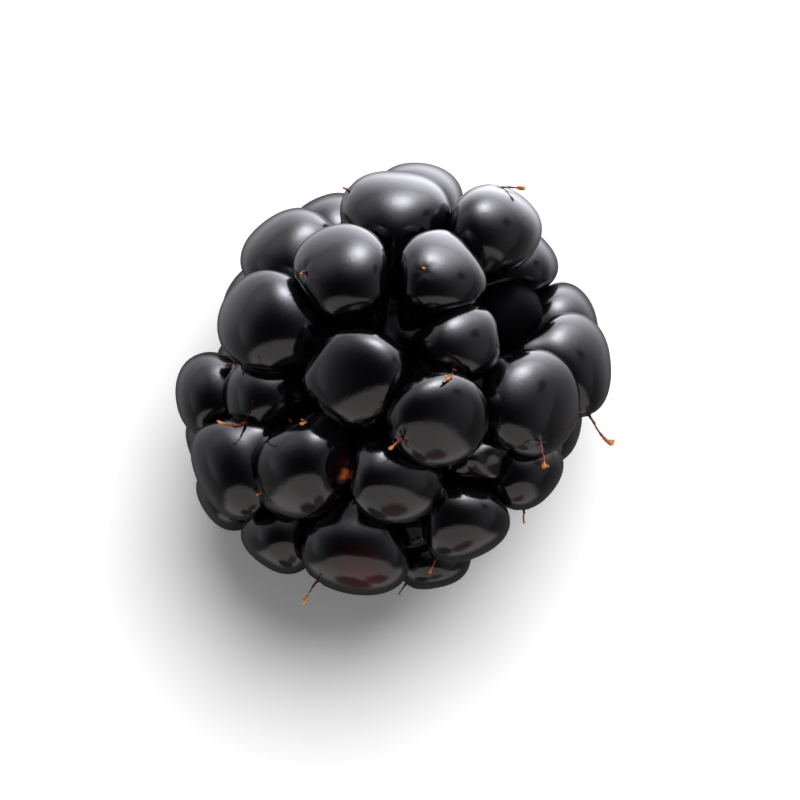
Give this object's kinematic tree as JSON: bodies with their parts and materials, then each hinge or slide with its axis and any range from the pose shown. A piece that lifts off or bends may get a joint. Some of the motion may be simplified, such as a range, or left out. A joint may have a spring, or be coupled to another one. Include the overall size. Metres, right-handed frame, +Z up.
{
  "type": "bramble berry",
  "caption": "Ripe bramble berry, a black aggregate fruit of glossy drupelets round a pale receptacle, standing on its stem end.",
  "frame": {"origin": "middle of the berry's box, on the surface that it stands on", "axes": "+Z up through the berry's tip, +X and +Y level"},
  "size_m": [0.022, 0.022, 0.0198],
  "materials": {
    "ripe_skin": "glossy, thin and taut, near black with a blue cast",
    "unripe_skin": "glossy, red",
    "pith": "matt, pale and slightly fibrous",
    "dried_style": "matt, dry and brown"
  },
  "bodies": {
    "root": {"receptacle": "pith", "crown_drupelet_1": "ripe_skin", "crown_drupelet_2": "ripe_skin", "crown_drupelet_3": "ripe_skin", "shoulder_drupelet_1": "ripe_skin", "shoulder_drupelet_2": "ripe_skin", "shoulder_drupelet_3": "ripe_skin", "shoulder_drupelet_4": "ripe_skin", "shoulder_drupelet_5": "ripe_skin", "shoulder_drupelet_6": "ripe_skin", "shoulder_drupelet_7": "ripe_skin", "flank_drupelet_1": "ripe_skin", "flank_drupelet_2": "ripe_skin", "flank_drupelet_3": "ripe_skin", "flank_drupelet_4": "ripe_skin", "flank_drupelet_5": "ripe_skin", "flank_drupelet_6": "ripe_skin", "flank_drupelet_7": "ripe_skin", "flank_drupelet_8": "ripe_skin", "flank_drupelet_9": "ripe_skin", "waist_drupelet_1": "ripe_skin", "waist_drupelet_2": "ripe_skin", "waist_drupelet_3": "ripe_skin", "waist_drupelet_4": "ripe_skin", "waist_drupelet_5": "ripe_skin", "waist_drupelet_6": "ripe_skin", "waist_drupelet_7": "ripe_skin", "waist_drupelet_8": "ripe_skin", "waist_drupelet_9": "ripe_skin", "waist_drupelet_10": "ripe_skin", "waist_drupelet_11": "ripe_skin", "waist_drupelet_12": "ripe_skin", "waist_drupelet_13": "ripe_skin", "heel_drupelet_1": "ripe_skin", "heel_drupelet_2": "ripe_skin", "heel_drupelet_3": "ripe_skin", "heel_drupelet_4": "ripe_skin", "heel_drupelet_5": "ripe_skin", "heel_drupelet_6": "ripe_skin", "heel_drupelet_7": "ripe_skin", "heel_drupelet_8": "ripe_skin", "heel_drupelet_9": "ripe_skin", "foot_drupelet_1": "ripe_skin", "foot_drupelet_2": "ripe_skin", "foot_drupelet_3": "ripe_skin", "foot_drupelet_4": "ripe_skin", "foot_drupelet_5": "ripe_skin", "foot_drupelet_6": "ripe_skin", "sunken_drupelet_1": "ripe_skin", "sunken_drupelet_2": "ripe_skin", "sunken_drupelet_3": "ripe_skin", "sunken_drupelet_4": "ripe_skin", "crumpled_drupelet_1": "ripe_skin", "wedged_drupelet_1": "ripe_skin", "unripe_drupelet_1": "unripe_skin", "style_1": "dried_style", "style_2": "dried_style", "style_3": "dried_style", "style_4": "dried_style", "style_5": "dried_style"}
  },
  "joints": []
}
